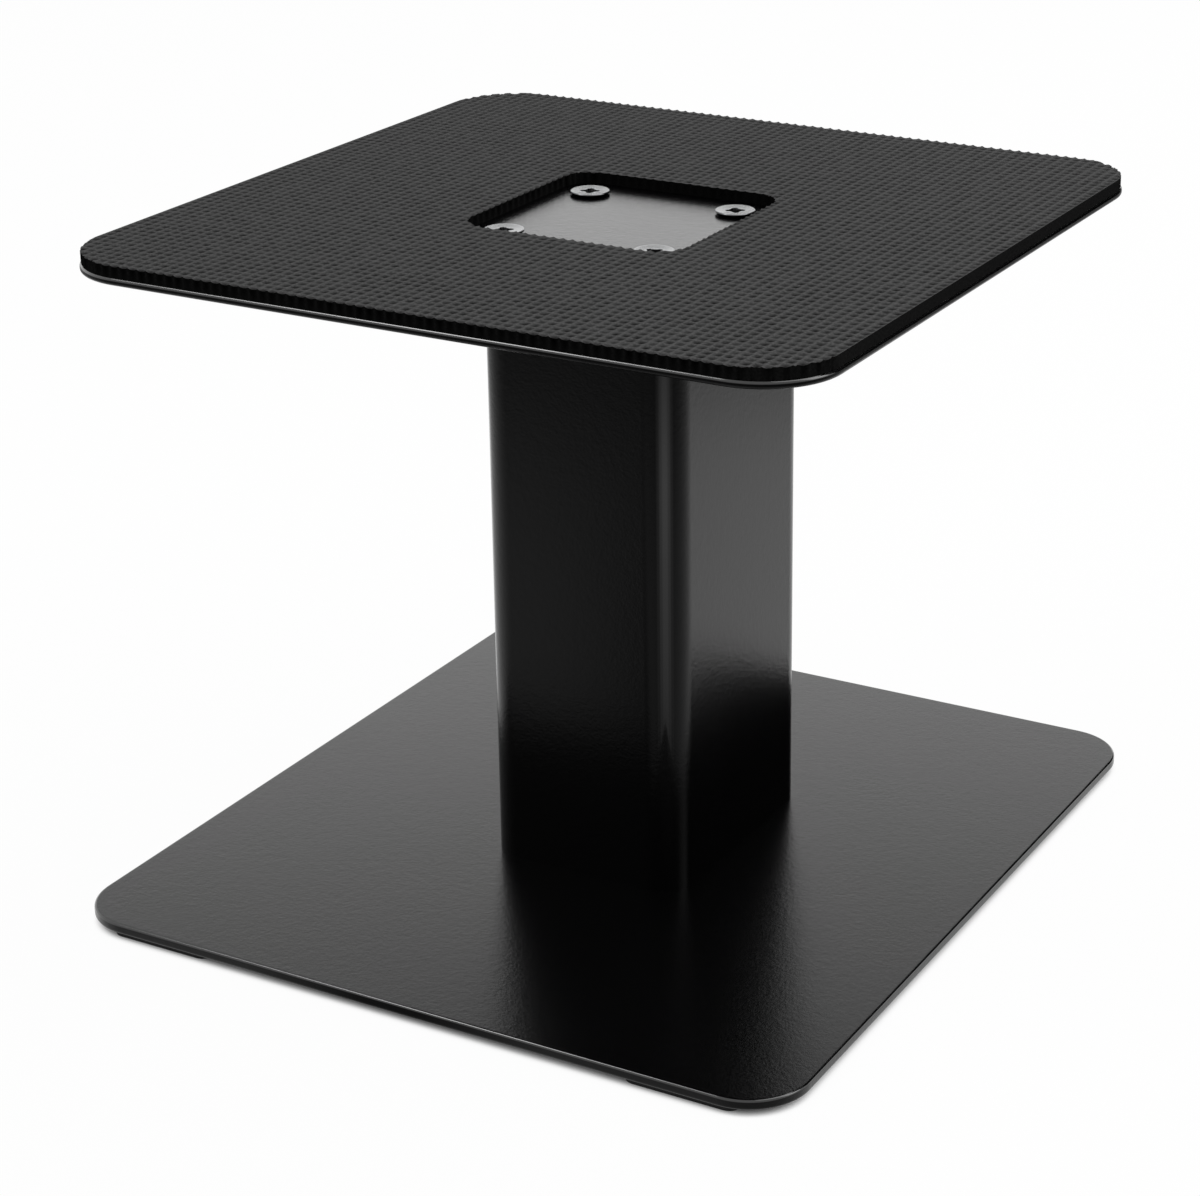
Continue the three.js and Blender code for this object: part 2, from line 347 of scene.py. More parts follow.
def surface_grain():
    """Fine grain for coat, rubber and plating: a mottled colour, uneven gloss, and a height for bump."""
    group = bpy.data.node_groups.new("surface_grain", "ShaderNodeTree")
    for name, kind, start in (
        ("Colour", "NodeSocketColor", (0.5, 0.5, 0.5, 1)),
        ("Roughness", "NodeSocketFloat", 0.5),
        ("Grains per Metre", "NodeSocketFloat", 1000.0),
        ("Waves per Metre", "NodeSocketFloat", 300.0),
        ("Mottle", "NodeSocketFloat", 0.1),
        ("Gloss Change", "NodeSocketFloat", 0.05),
        ("Grain Share", "NodeSocketFloat", 0.5),
    ):
        group.interface.new_socket(name, in_out="INPUT", socket_type=kind).default_value = start
    for name, kind in (("Colour", "Color"), ("Roughness", "Float"), ("Height", "Float")):
        group.interface.new_socket(name, in_out="OUTPUT", socket_type=f"NodeSocket{kind}")
    given = group.nodes.new("NodeGroupInput").outputs
    place = add_node(group, "ShaderNodeTexCoord").outputs["Object"]
    grain = add_node(
        group,
        "ShaderNodeTexNoise",
        {"Vector": place, "Scale": given["Grains per Metre"], "Detail": 3.0, "Roughness": 0.6},
    ).outputs["Fac"]
    waves = add_node(
        group,
        "ShaderNodeTexNoise",
        {"Vector": place, "Scale": given["Waves per Metre"], "Detail": 1.0},
    ).outputs["Fac"]
    clouds = add_node(
        group,
        "ShaderNodeTexNoise",
        {"Vector": place, "Scale": CLOUDS_PER_METRE, "Detail": 4.0},
    ).outputs["Fac"]
    swing = calc(group, "MULTIPLY", calc(group, "SUBTRACT", grain, 0.5), given["Mottle"])
    tone = calc(group, "ADD", swing, 1.0)
    colour = add_node(
        group, "ShaderNodeVectorMath", {0: given["Colour"], "Scale": tone}, operation="SCALE"
    ).outputs[0]
    uneven = calc(group, "MULTIPLY", calc(group, "SUBTRACT", clouds, 0.5), given["Gloss Change"])
    height = add_node(
        group, "ShaderNodeMix", {0: given["Grain Share"], 2: waves, 3: grain}, data_type="FLOAT"
    ).outputs[0]
    add_node(
        group,
        "NodeGroupOutput",
        {"Colour": colour, "Roughness": calc(group, "ADD", given["Roughness"], uneven), "Height": height},
    )
    return group


grain_group = surface_grain()


def marked(tree, attribute, plain, full):
    """A value that goes from plain to full as the mesh's attribute goes from 0 to 1."""
    mark = add_node(tree, "ShaderNodeAttribute", attribute_name=attribute).outputs["Fac"]
    return add_node(tree, "ShaderNodeMix", {0: mark, 2: plain, 3: full}).outputs[0]


def scaled(tree, colour, factor):
    """A colour made lighter or darker."""
    return add_node(tree, "ShaderNodeVectorMath", {0: colour, "Scale": factor}, operation="SCALE").outputs[0]


def grained(name, grain, bump, bump_depth, painted_shades=(), **plain):
    """A material with the grain group's colour, roughness and bump, and plain values for the rest.

    A painted shade is an attribute of the mesh and the share of the colour that is left where it is 1, so
    that shade is painted into the colour.
    """
    made = bpy.data.materials.new(name)
    tree = empty_tree(made)
    texture = add_node(tree, "ShaderNodeGroup", node_tree=grain_group)
    for key, value in grain.items():
        texture.inputs[key].default_value = value
    colour = texture.outputs["Colour"]
    for attribute, left in painted_shades:
        colour = scaled(tree, colour, marked(tree, attribute, 1.0, left))
    raised = add_node(
        tree,
        "ShaderNodeBump",
        {"Height": texture.outputs["Height"], "Strength": bump, "Distance": bump_depth},
    )
    shader = add_node(
        tree,
        "ShaderNodeBsdfPrincipled",
        {
            "Base Color": colour,
            "Roughness": texture.outputs["Roughness"],
            "Normal": raised.outputs[0],
            **plain,
        },
    )
    add_node(tree, "ShaderNodeOutputMaterial", {"Surface": shader.outputs[0]})
    return made


powder_coat = grained(
    "powder_coat",
    {
        "Colour": COAT_BLACK,
        "Roughness": COAT_ROUGHNESS,
        "Grains per Metre": 1300.0,
        "Waves per Metre": 500.0,
        "Mottle": 0.5,
        "Gloss Change": 0.03,
        "Grain Share": 0.6,
    },
    bump=0.9,
    bump_depth=0.08 * MM,
    IOR=COAT_INDEX,
    **{
        "Specular Tint": (COAT_FACING, COAT_FACING, COAT_FACING, 1),
        "Coat Roughness": GLINT_ROUGHNESS,
        "Coat IOR": COAT_INDEX,
    },
)
# Painted highlight: the mesh's glint mask sets the clear coat's weight, so edges and corner bands shine only
# where it is laid.
tree = powder_coat.node_tree
shader = next(node for node in tree.nodes if node.type == "BSDF_PRINCIPLED")
painted_glint = add_node(tree, "ShaderNodeAttribute", attribute_name="painted_glint")
tree.links.new(painted_glint.outputs["Fac"], shader.inputs["Coat Weight"])

base_low, base_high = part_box("base_plate")
cone_end = base_low.z + SCREW_RIM + SCREW_CONE - BASE_SCREWS["proud"]
mouth = SHANK_HOLE + cone_end - base_low.z
base_holes = [
    (x, y, [(mouth, base_low.z), (SHANK_HOLE, cone_end), (SHANK_HOLE, base_high.z)])
    for x, y in four_places(**BASE_SCREWS)
]
base_plate = sheet("base_plate_coated", powder_coat, BASE, base_low.z, base_high.z, BASE_EDGE, base_holes)
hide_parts("base_plate")
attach(base_plate, "root")


# ---- foot pads ----------------------------------------------------------------------------------
# Four square pads of black foam rubber under the corners of the base, die cut from sheet and held by
# their own adhesive. Their sides spread towards the floor under the weight.

FOOT = {"width": 33.6 * MM, "depth": 33.6 * MM, "corner": 3.2 * MM}
FOOT_PLACES = {"across": 170 * MM, "along": 215.8 * MM, "x": 0.0, "y": 0.0}
FOOT_SPREAD = 0.3 * MM
FOOT_EDGE = 0.12 * MM
FOOT_LEVELS = 8
FOOT_SQUARENESS = 6  # the higher, the later a side turns in at its edges

foot_rubber = grained(
    "foot_rubber",
    {
        "Colour": (0.012, 0.012, 0.012, 1),
        "Roughness": 0.82,
        "Grains per Metre": 2200.0,
        "Waves per Metre": 500.0,
        "Mottle": 0.8,
        "Gloss Change": 0.1,
        "Grain Share": 0.7,
    },
    bump=0.6,
    bump_depth=0.12 * MM,
    IOR=1.45,
)


def place_four(source, name, material, spacing_x, spacing_y, centre, turned_over=0.0, loose_turn=0.0, seed=1):
    """Four copies of a mesh on a rectangle's corners, made by Geometry Nodes and kept as one plain mesh."""
    tree = bpy.data.node_groups.new(f"{name}_places", "GeometryNodeTree")
    sizes = {
        "Spacing X": spacing_x,
        "Spacing Y": spacing_y,
        "Centre": centre,
        "Turned Over": turned_over,
        "Loose Turn": loose_turn,
        "Seed": seed,
    }
    kinds = {"Centre": "NodeSocketVector", "Seed": "NodeSocketInt"}
    tree.interface.new_socket("Geometry", in_out="INPUT", socket_type="NodeSocketGeometry")
    sockets = {
        key: tree.interface.new_socket(key, in_out="INPUT", socket_type=kinds.get(key, "NodeSocketFloat"))
        for key in sizes
    }
    tree.interface.new_socket("Geometry", in_out="OUTPUT", socket_type="NodeSocketGeometry")
    given = tree.nodes.new("NodeGroupInput").outputs
    grid = add_node(
        tree,
        "GeometryNodeMeshGrid",
        {"Size X": given["Spacing X"], "Size Y": given["Spacing Y"], "Vertices X": 2, "Vertices Y": 2},
    )
    turn = add_node(tree, "FunctionNodeRandomValue", {"Seed": given["Seed"]}, data_type="FLOAT")
    turn.inputs[3].default_value = 1.0
    spun = calc(tree, "MULTIPLY", turn.outputs[1], given["Loose Turn"])
    euler = add_node(tree, "ShaderNodeCombineXYZ", {0: given["Turned Over"], 2: spun})
    rotation = add_node(tree, "FunctionNodeEulerToRotation", {0: euler.outputs[0]})
    copies = add_node(
        tree,
        "GeometryNodeInstanceOnPoints",
        {"Points": grid.outputs["Mesh"], "Instance": given["Geometry"], "Rotation": rotation.outputs[0]},
    )
    moved = add_node(
        tree,
        "GeometryNodeTransform",
        {"Geometry": copies.outputs[0], "Translation": given["Centre"]},
    )
    real = add_node(tree, "GeometryNodeRealizeInstances", {0: moved.outputs[0]})
    painted = add_node(tree, "GeometryNodeSetMaterial", {"Geometry": real.outputs[0], "Material": material})
    add_node(tree, "NodeGroupOutput", {0: painted.outputs[0]})

    modifier = source.modifiers.new("places", "NODES")
    modifier.node_group = tree
    for key, value in sizes.items():
        modifier[sockets[key].identifier] = value
    return plain_copy(source, name)


def plain_copy(source, name):
    """What an object's modifiers make of it as a plain mesh object, in place of that object."""
    graph = bpy.context.evaluated_depsgraph_get()
    data = bpy.data.meshes.new_from_object(source.evaluated_get(graph))
    data.name = name
    bpy.data.objects.remove(source)
    made = bpy.data.objects.new(name, data)
    scene.collection.objects.link(made)
    return made


def foot_mesh():
    """One pad about the Z axis, on the floor, its sides spreading downwards between its rounded edges."""
    thickness = base_low.z
    mesh = bmesh.new()
    levels = [step / FOOT_LEVELS for step in range(FOOT_LEVELS + 1)]
    profile = [(FOOT_EDGE + GUARD, 0.0)]
    for level in levels:
        rounding = FOOT_EDGE * abs(2 * level - 1) ** FOOT_SQUARENESS
        profile.append((rounding - FOOT_SPREAD * (1 - level) ** 2, thickness * level))
    profile.append((FOOT_EDGE + GUARD, thickness))
    rings = [ring(mesh, outline(**FOOT, inset=inset), height) for inset, height in profile]
    skin(mesh, rings)
    lid(mesh, [rings[0]])
    lid(mesh, [rings[-1]])
    return finished(mesh, "foot_pad", foot_rubber)


foot_pads = place_four(
    foot_mesh(),
    "foot_pads",
    foot_rubber,
    FOOT_PLACES["across"],
    FOOT_PLACES["along"],
    (FOOT_PLACES["x"], FOOT_PLACES["y"], 0.0),
)
CORNERS = ("front_left", "front_right", "rear_left", "rear_right")
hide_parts(*[f"foot_pad_{corner}" for corner in CORNERS])
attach(foot_pads, "root")


# ---- column -------------------------------------------------------------------------------------
# A rectangular steel tube with a 5 mm end cap welded into line at each end and ground flush, so that
# the coating runs over both joints. The caps carry tapped holes for the screws, and a vent.

TUBE = {"width": 64.6 * MM, "depth": 82.5 * MM, "corner": 10 * MM, **COLUMN_PLACE}
TUBE_WALL = 1.5 * MM
VENT = 8 * MM
CORNER_GLINTS = (0.0, 1.0)  # how much painted highlight an upright corner gets at the foot of the column and at its top
CORNER_GLINT_STEPS = (5, 12)  # and between which steps of the corner
TOP_SCREWS = {"across": 48.4 * MM, "along": 48.4 * MM, "x": 1.7 * MM, "y": -3.4 * MM, "proud": 1.25 * MM}


def corner_glints(peak):
    """For each point of an outline, how much painted highlight it gets: a soft band on each corner."""
    first, last = CORNER_GLINT_STEPS
    corner = [0.0] * (CORNER_STEPS + 3)
    for step in range(first, last):
        corner[step + 1] = peak * math.sin(math.pi * (step - first) / (last - first)) ** 2
    return corner * 4


def column_tube():
    """The tube between its caps."""
    low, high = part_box("column_tube")
    bore = dict(
        TUBE,
        width=TUBE["width"] - 2 * TUBE_WALL,
        depth=TUBE["depth"] - 2 * TUBE_WALL,
        corner=TUBE["corner"] - TUBE_WALL,
    )
    mesh = glinting_mesh()
    outer = [
        ring(mesh, outline(**TUBE), z, corner_glints(peak))
        for z, peak in zip((low.z, high.z), CORNER_GLINTS)
    ]
    inner = [ring(mesh, outline(**bore), z) for z in (low.z, high.z)]
    skin(mesh, outer)
    skin(mesh, inner)
    skin(mesh, [outer[0], inner[0]])
    skin(mesh, [outer[1], inner[1]])
    return finished(mesh, "column_tube_coated", powder_coat)


def column_cap(node, screws, painted_glint):
    """An end cap with its tapped holes and its vent."""
    low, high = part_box(node)
    holes = [(x, y, [(SHANK_HOLE, low.z), (SHANK_HOLE, high.z)]) for x, y in four_places(**screws)]
    holes.append((TUBE["x"], TUBE["y"], [(VENT, low.z), (VENT, high.z)]))
    # The cap's corners get the same band of painted highlight as the tube has at their height.
    glints = corner_glints(painted_glint)
    return sheet(f"{node}_coated", powder_coat, TUBE, low.z, high.z, holes=holes, glints=glints)


for piece, node in (
    (column_tube(), "column_tube"),
    (column_cap("lower_cap", BASE_SCREWS, CORNER_GLINTS[0]), "lower_cap"),
    (column_cap("upper_cap", TOP_SCREWS, CORNER_GLINTS[1]), "upper_cap"),
):
    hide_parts(node)
    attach(piece, "root")


# ---- top plate ----------------------------------------------------------------------------------
# A thinner square steel plate with its edges rounded over, countersunk from above for the four screws
# that hold it to the column's upper cap, and coated like the rest.

TOP = {"width": 230 * MM, "depth": 230 * MM, "corner": 22 * MM}
TOP_EDGE = 0.9 * MM

top_low, top_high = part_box("top_plate")
cone_end = top_high.z - SCREW_RIM - SCREW_CONE + TOP_SCREWS["proud"]
mouth = SHANK_HOLE + top_high.z - cone_end
top_holes = [
    (x, y, [(SHANK_HOLE, top_low.z), (SHANK_HOLE, cone_end), (mouth, top_high.z)])
    for x, y in four_places(**TOP_SCREWS)
]
top_plate = sheet("top_plate_coated", powder_coat, TOP, top_low.z, top_high.z, TOP_EDGE, top_holes)
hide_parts("top_plate")
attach(top_plate, "root")


# ---- screws -------------------------------------------------------------------------------------
# Eight M6 countersunk machine screws of dark nickel-plated steel with a cross recess: four through the
# top plate, whose heads stand proud in the pad's cut-out, and four from below through the base.

HEAD, HEAD_BREAK, BREAK_STEPS = 5.9 * MM, 0.3 * MM, 4
HEAD_SIDE_SHADE = 0.85  # how far the side of a head takes the recess's painted shade
UV_SPAN = 4 * HEAD  # the width that the UV map covers
SHANK, SHANK_LENGTH, SHANK_TIP = 3 * MM, 12 * MM, 0.7 * MM
RECESS_DEPTH = 2.4 * MM
RECESS_MOUTH = {"span": 5.6 * MM, "width": 1.8 * MM, "core": 2.6 * MM}
RECESS_FLOOR = {"span": 2.9 * MM, "width": 1.0 * MM, "core": 1.4 * MM}
RECESS_LIP = 0.1 * MM
DISH, DISH_DEPTH = 3.3 * MM, 0.25 * MM  # the punch that forms the recess leaves the head's face dished
ARM_STEPS = 6
RING_SCALE, RING_SHARE = 260.0, 0.7  # the turning marks on a head: how fine, and how deep beside the grain
RECESS_SHADE_LEFT = 0.03  # the share of the plating's colour that is left in the recess: a painted shade


def cross(span, width, core, grown=0.0):
    """The outline of a cross recess, anticlockwise: rounded arms, and slanting walls between them."""
    points = []
    half = width / 2 + grown
    for arm in range(4):
        turn = Matrix.Rotation(math.radians(90 * arm), 2)
        points.append(turn @ Vector((core + grown - half, -half)))
        for step in range(ARM_STEPS + 1):
            angle = math.radians(-90 + 180 * step / ARM_STEPS)
            end = Vector((span / 2 + grown - half + half * math.cos(angle), half * math.sin(angle)))
            points.append(turn @ end)
        points.append(turn @ Vector((core + grown - half, half)))
    return points


def screw_mesh():
    """One screw about the Z axis, the flat of its head at height 0, with a UV map centred on its axis."""
    mesh = bmesh.new()
    sunk = mesh.verts.layers.float.new("recess")
    recess = [
        ring(mesh, cross(**RECESS_FLOOR), -RECESS_DEPTH),
        ring(mesh, cross(**RECESS_MOUTH), -DISH_DEPTH - RECESS_LIP),
        ring(mesh, cross(**RECESS_MOUTH, grown=RECESS_LIP), -DISH_DEPTH),
    ]
    # The recess is marked for the painted shade.
    for vert in recess[0] + recess[1]:
        vert[sunk] = 1.0
    breaks = [math.radians(90 * step / BREAK_STEPS) for step in range(BREAK_STEPS + 1)]
    turned = [(SHANK - SHANK_TIP, -SHANK_LENGTH), (SHANK, SHANK_TIP - SHANK_LENGTH)]
    turned += [(SHANK, -SCREW_RIM - SCREW_CONE), (HEAD, -SCREW_RIM)]
    turned += [
        (HEAD - HEAD_BREAK * (1 - math.cos(turn)), -HEAD_BREAK * (1 - math.sin(turn))) for turn in breaks
    ]
    turned += [(HEAD - HEAD_BREAK - GUARD, 0.0), (DISH, -DISH_DEPTH)]
    body = [ring(mesh, circle(radius, 0, 0), height) for radius, height in turned]
    # The side and the cone under the head are marked for most of the recess's painted shade.
    for loop in body[2:5]:
        for vert in loop:
            vert[sunk] = HEAD_SIDE_SHADE
    skin(mesh, recess)
    skin(mesh, body)
    lid(mesh, [recess[0]])
    lid(mesh, [body[0]])
    lid(mesh, [body[-1], recess[-1]])
    layer = mesh.loops.layers.uv.new("turned")
    for face in mesh.faces:
        for corner in face.loops:
            corner[layer].uv = corner.vert.co.xy / UV_SPAN + Vector((0.5, 0.5))
    return finished(mesh, "screw", screw_steel)


def plated_steel():
    """Dark nickel over turned steel: rings about each screw's axis, a fine mottle, and painted shade in the
    recess and on the heads' sides.
    """
    made = bpy.data.materials.new("screw_steel")
    tree = empty_tree(made)
    place = add_node(tree, "ShaderNodeUVMap", uv_map="turned").outputs[0]
    centred = add_node(tree, "ShaderNodeVectorMath", {0: place, 1: (0.5, 0.5, 0)}, operation="SUBTRACT")
    measured = add_node(tree, "ShaderNodeVectorMath", {0: centred.outputs[0]}, operation="LENGTH")
    rings = add_node(
        tree,
        "ShaderNodeTexNoise",
        {"W": measured.outputs["Value"], "Scale": RING_SCALE, "Detail": 3.0, "Roughness": 0.7},
        noise_dimensions="1D",
    ).outputs["Fac"]
    texture = add_node(tree, "ShaderNodeGroup", node_tree=grain_group)
    for key, value in {
        "Colour": (0.16, 0.162, 0.165, 1),
        "Roughness": 0.2,
        "Grains per Metre": 3000.0,
        "Waves per Metre": 900.0,
        "Mottle": 0.25,
        "Gloss Change": 0.08,
        "Grain Share": 0.5,
    }.items():
        texture.inputs[key].default_value = value
    height = calc(tree, "ADD", calc(tree, "MULTIPLY", rings, RING_SHARE), texture.outputs["Height"])
    raised = add_node(tree, "ShaderNodeBump", {"Height": height, "Strength": 0.35, "Distance": 0.04 * MM})
    # Painted shade: the recess and the side of each head are darkened in the colour.
    colour = scaled(tree, texture.outputs["Colour"], marked(tree, "recess", 1.0, RECESS_SHADE_LEFT))
    shader = add_node(
        tree,
        "ShaderNodeBsdfPrincipled",
        {
            "Base Color": colour,
            "Roughness": texture.outputs["Roughness"],
            "Metallic": 1.0,
            "Normal": raised.outputs[0],
        },
    )
    add_node(tree, "ShaderNodeOutputMaterial", {"Surface": shader.outputs[0]})
    return made


screw_steel = plated_steel()

for name, screws, height, turned_over in (
    ("top_screw", TOP_SCREWS, top_high.z + TOP_SCREWS["proud"], 0.0),
    ("base_screw", BASE_SCREWS, base_low.z - BASE_SCREWS["proud"], math.pi),
):
    piece = place_four(
        screw_mesh(),
        f"{name}s",
        screw_steel,
        screws["across"],
        screws["along"],
        (screws["x"], screws["y"], height),
        turned_over,
        loose_turn=math.pi,
        seed=4,
    )
    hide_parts(*[f"{name}_{corner}" for corner in CORNERS])
    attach(piece, "root")


# ---- anti-slip pad ------------------------------------------------------------------------------
# A sheet of black foam rubber embossed with a square grid of dimples, die cut a little inside the top
# plate's outline with a rounded square window for the screws, and glued down. The cuts run through the
# dimples, so that the pad's upper edges are toothed.

PAD = {"Width": 229.2 * MM, "Depth": 229.2 * MM, "Corner": 21.6 * MM}
WINDOW = {"Width": 69.5 * MM, "Depth": 68 * MM, "Corner": 9 * MM, "X": 1.3 * MM, "Y": -1.2 * MM}
DIMPLES_ACROSS, DIMPLES_ALONG = 75, 72
DIMPLE_PARTS = 4  # faces across one dimple
DIMPLE_DEPTH = 0.55 * MM
DIMPLE_UNEVEN = 0.35  # how much shallower some dimples are
SLIVER = 0.3 * MM  # cut edges shorter than this are taken out
WELD = 0.01 * MM  # points nearer than this are one
CUT_POINTS = 40  # round each corner of a cut
HAIR = 0.001  # the walls' first depth, before their foot is set in place


def rounded_distance(tree, position, width, depth, corner, x, y):
    """How far a point lies outside a rounded rectangle, seen from above; negative inside it."""
    split = add_node(tree, "ShaderNodeSeparateXYZ", {0: position}).outputs
    past = []
    for at, middle, size in ((split[0], x, width), (split[1], y, depth)):
        off = calc(tree, "ABSOLUTE", calc(tree, "SUBTRACT", at, middle))
        straight = calc(tree, "SUBTRACT", calc(tree, "MULTIPLY", size, 0.5), corner)
        past.append(calc(tree, "SUBTRACT", off, straight))
    outside = [calc(tree, "MAXIMUM", value, 0.0) for value in past]
    squares = calc(tree, "ADD", *[calc(tree, "POWER", value, 2.0) for value in outside])
    inside = calc(tree, "MINIMUM", calc(tree, "MAXIMUM", *past), 0.0)
    return calc(tree, "SUBTRACT", calc(tree, "ADD", calc(tree, "SQRT", squares), inside), corner)


def rounded_curve(tree, width, depth, corner, x, y):
    """The outline of a rounded rectangle as a curve."""
    square = add_node(tree, "GeometryNodeCurvePrimitiveQuadrilateral", {"Width": width, "Height": depth})
    soft = add_node(
        tree,
        "GeometryNodeFilletCurve",
        {"Curve": square.outputs[0], "Radius": corner, "Count": CUT_POINTS},
        mode="POLY",
    )
    shift = add_node(tree, "ShaderNodeCombineXYZ", {0: x, 1: y})
    moved = add_node(
        tree, "GeometryNodeTransform", {"Geometry": soft.outputs[0], "Translation": shift.outputs[0]}
    )
    return moved.outputs[0]


def pad_tree(material):
    """A fine grid, cut to the pad's outline, dimpled, and closed with cut sides and a flat underside."""
    tree = bpy.data.node_groups.new("embossed_pad", "GeometryNodeTree")
    tree.interface.new_socket("Geometry", in_out="INPUT", socket_type="NodeSocketGeometry")
    ids = {}
    for key, kind in (
        ("Width", "Float"), ("Depth", "Float"), ("Corner", "Float"),
        ("Window Width", "Float"), ("Window Depth", "Float"), ("Window Corner", "Float"),
        ("Window X", "Float"), ("Window Y", "Float"),
        ("Dimples Across", "Int"), ("Dimples Along", "Int"), ("Parts", "Int"),
        ("Dimple Depth", "Float"), ("Uneven", "Float"), ("Lower Face", "Float"), ("Upper Face", "Float"),
    ):
        made = tree.interface.new_socket(key, in_out="INPUT", socket_type=f"NodeSocket{kind}")
        ids[key] = made.identifier
    tree.interface.new_socket("Geometry", in_out="OUTPUT", socket_type="NodeSocketGeometry")
    given = tree.nodes.new("NodeGroupInput").outputs
    position = add_node(tree, "GeometryNodeInputPosition").outputs[0]
    pad = (given["Width"], given["Depth"], given["Corner"], 0.0, 0.0)
    window = [given[f"Window {key}"] for key in ("Width", "Depth", "Corner", "X", "Y")]

    counts = [
        calc(tree, "ADD", calc(tree, "MULTIPLY", given[key], given["Parts"]), 1.0)
        for key in ("Dimples Across", "Dimples Along")
    ]
    grid = add_node(
        tree,
        "GeometryNodeMeshGrid",
        {
            "Size X": given["Width"],
            "Size Y": given["Depth"],
            "Vertices X": counts[0],
            "Vertices Y": counts[1],
        },
    )
    outside = calc(tree, "GREATER_THAN", rounded_distance(tree, position, *pad), 0.0)
    within = calc(tree, "LESS_THAN", rounded_distance(tree, position, *window), 0.0)
    trimmed = add_node(
        tree,
        "GeometryNodeDeleteGeometry",
        {"Geometry": grid.outputs["Mesh"], "Selection": calc(tree, "MAXIMUM", outside, within)},
        domain="FACE",
    )

    neighbours = add_node(tree, "GeometryNodeInputMeshEdgeNeighbors").outputs[0]
    cut_edge = calc(tree, "COMPARE", neighbours, 1.0, 0.1)
    cuts = add_node(tree, "GeometryNodeJoinGeometry")
    for shape in (pad, window):
        tree.links.new(rounded_curve(tree, *shape), cuts.inputs[0])
    blades = add_node(tree, "GeometryNodeCurveToMesh", {"Curve": cuts.outputs[0]})
    nearest = add_node(tree, "GeometryNodeProximity", {0: blades.outputs[0]}, target_element="EDGES")
    moved = add_node(
        tree,
        "GeometryNodeSetPosition",
        {"Geometry": trimmed.outputs[0], "Selection": cut_edge, "Position": nearest.outputs["Position"]},
    )
    fitted = add_node(
        tree,
        "GeometryNodeMergeByDistance",
        {"Geometry": moved.outputs[0], "Selection": cut_edge, "Distance": SLIVER},
    )

    split = add_node(tree, "ShaderNodeSeparateXYZ", {0: position}).outputs
    waves, cell = [], add_node(tree, "ShaderNodeCombineXYZ")
    for axis, at, size, count in (
        (0, split[0], given["Width"], given["Dimples Across"]),
        (1, split[1], given["Depth"], given["Dimples Along"]),
    ):
        phase = calc(tree, "MULTIPLY", calc(tree, "DIVIDE", at, size), count)
        wave = calc(tree, "COSINE", calc(tree, "MULTIPLY", phase, 2 * math.pi))
        waves.append(calc(tree, "MULTIPLY_ADD", wave, 0.5, 0.5))
        tree.links.new(calc(tree, "ROUND", phase), cell.inputs[axis])
    luck = add_node(tree, "ShaderNodeTexWhiteNoise", {"Vector": cell.outputs[0]}).outputs["Value"]
    pressed = calc(tree, "SUBTRACT", 1.0, calc(tree, "MULTIPLY", luck, given["Uneven"]))
    dimple = calc(tree, "MULTIPLY", calc(tree, "SQRT", calc(tree, "MULTIPLY", *waves)), pressed)
    # The dimple mask sets each dimple's depth, and also the painted shade in it.
    noted = add_node(
        tree,
        "GeometryNodeStoreNamedAttribute",
        {"Geometry": fitted.outputs[0], "Name": "dimple", "Value": dimple},
        domain="POINT",
    )
    sunk = calc(tree, "MULTIPLY", dimple, given["Dimple Depth"])
    level = calc(tree, "SUBTRACT", given["Upper Face"], sunk)
    lowered = add_node(tree, "ShaderNodeCombineXYZ", {0: split[0], 1: split[1], 2: level})
    embossed = add_node(
        tree, "GeometryNodeSetPosition", {"Geometry": noted.outputs[0], "Position": lowered.outputs[0]}
    )

    down = add_node(tree, "ShaderNodeCombineXYZ", {2: -1.0})
    sides = add_node(
        tree,
        "GeometryNodeExtrudeMesh",
        {"Mesh": embossed.outputs[0], "Selection": cut_edge, "Offset": down.outputs[0], "Offset Scale": HAIR},
        mode="EDGES",
    )
    foot = add_node(tree, "ShaderNodeCombineXYZ", {0: split[0], 1: split[1], 2: given["Lower Face"]})
    walls = add_node(
        tree,
        "GeometryNodeSetPosition",
        {"Geometry": sides.outputs["Mesh"], "Selection": sides.outputs["Top"], "Position": foot.outputs[0]},
    )
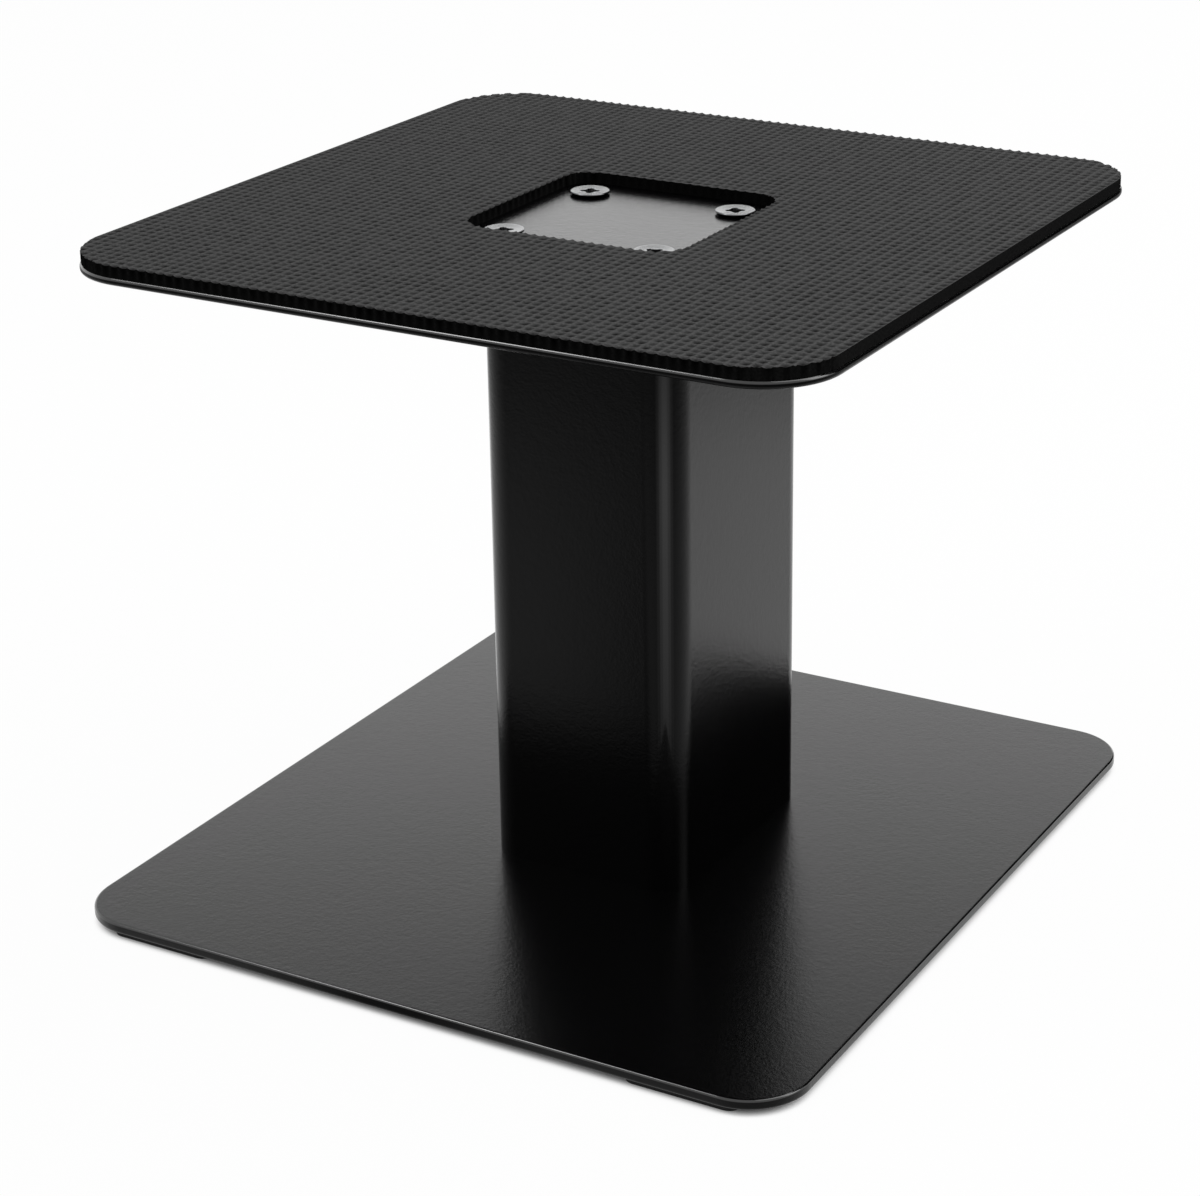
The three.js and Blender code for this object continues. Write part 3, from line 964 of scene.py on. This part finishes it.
    # The cut mask marks the walls: they get a painted shade in the colour, and sharp edges where they meet
    # the top and the underside.
    cut = add_node(
        tree,
        "GeometryNodeStoreNamedAttribute",
        {"Geometry": walls.outputs[0], "Name": "cut", "Value": sides.outputs["Side"]},
        domain="FACE",
    )
    border = add_node(tree, "GeometryNodeMeshToCurve", {"Mesh": fitted.outputs[0], "Selection": cut_edge})
    filled = add_node(tree, "GeometryNodeFillCurve", {"Curve": border.outputs[0]})
    bottom = add_node(
        tree, "GeometryNodeSetPosition", {"Geometry": filled.outputs[0], "Position": foot.outputs[0]}
    )
    joined = add_node(tree, "GeometryNodeJoinGeometry")
    for part in (bottom.outputs[0], cut.outputs[0]):
        tree.links.new(part, joined.inputs[0])
    closed = add_node(tree, "GeometryNodeMergeByDistance", {"Geometry": joined.outputs[0], "Distance": WELD})
    real = add_node(tree, "GeometryNodeRealizeInstances", {0: closed.outputs[0]})
    painted = add_node(tree, "GeometryNodeSetMaterial", {"Geometry": real.outputs[0], "Material": material})
    add_node(tree, "NodeGroupOutput", {0: painted.outputs[0]})
    return tree, ids


pad_low, pad_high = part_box("top_pad")
pad_rubber = grained(
    "pad_rubber",
    {
        "Colour": (0.08, 0.08, 0.08, 1),
        "Roughness": 0.85,
        "Grains per Metre": 1500.0,
        "Waves per Metre": 500.0,
        "Mottle": 1.6,
        "Gloss Change": 0.1,
        "Grain Share": 0.7,
    },
    bump=0.5,
    bump_depth=0.1 * MM,
    # Painted shade: the colour goes to black at the bottom of each dimple and to a tenth on the cut walls.
    painted_shades=(("dimple", 0.0), ("cut", 0.1)),
    IOR=1.45,
    **{"Specular IOR Level": 0.0},
)
tree, ids = pad_tree(pad_rubber)
blank = bpy.data.objects.new("pad_blank", bpy.data.meshes.new("pad_blank"))
scene.collection.objects.link(blank)
modifier = blank.modifiers.new("embossing", "NODES")
modifier.node_group = tree
for key, value in {
    **PAD,
    **{f"Window {key}": value for key, value in WINDOW.items()},
    "Dimples Across": DIMPLES_ACROSS,
    "Dimples Along": DIMPLES_ALONG,
    "Parts": DIMPLE_PARTS,
    "Dimple Depth": DIMPLE_DEPTH,
    "Uneven": DIMPLE_UNEVEN,
    "Lower Face": pad_low.z,
    "Upper Face": pad_high.z,
}.items():
    modifier[ids[key]] = value
pad = plain_copy(blank, "anti_slip_pad")

mesh = bmesh.new()
mesh.from_mesh(pad.data)
bmesh.ops.recalc_face_normals(mesh, faces=mesh.faces)
cut_faces = mesh.faces.layers.float["cut"]
for face in mesh.faces:
    face.smooth = True
for edge in mesh.edges:
    edge.smooth = len({face[cut_faces] > 0.5 for face in edge.link_faces}) == 1
mesh.to_mesh(pad.data)
mesh.free()
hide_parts("top_pad")
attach(pad, "root")
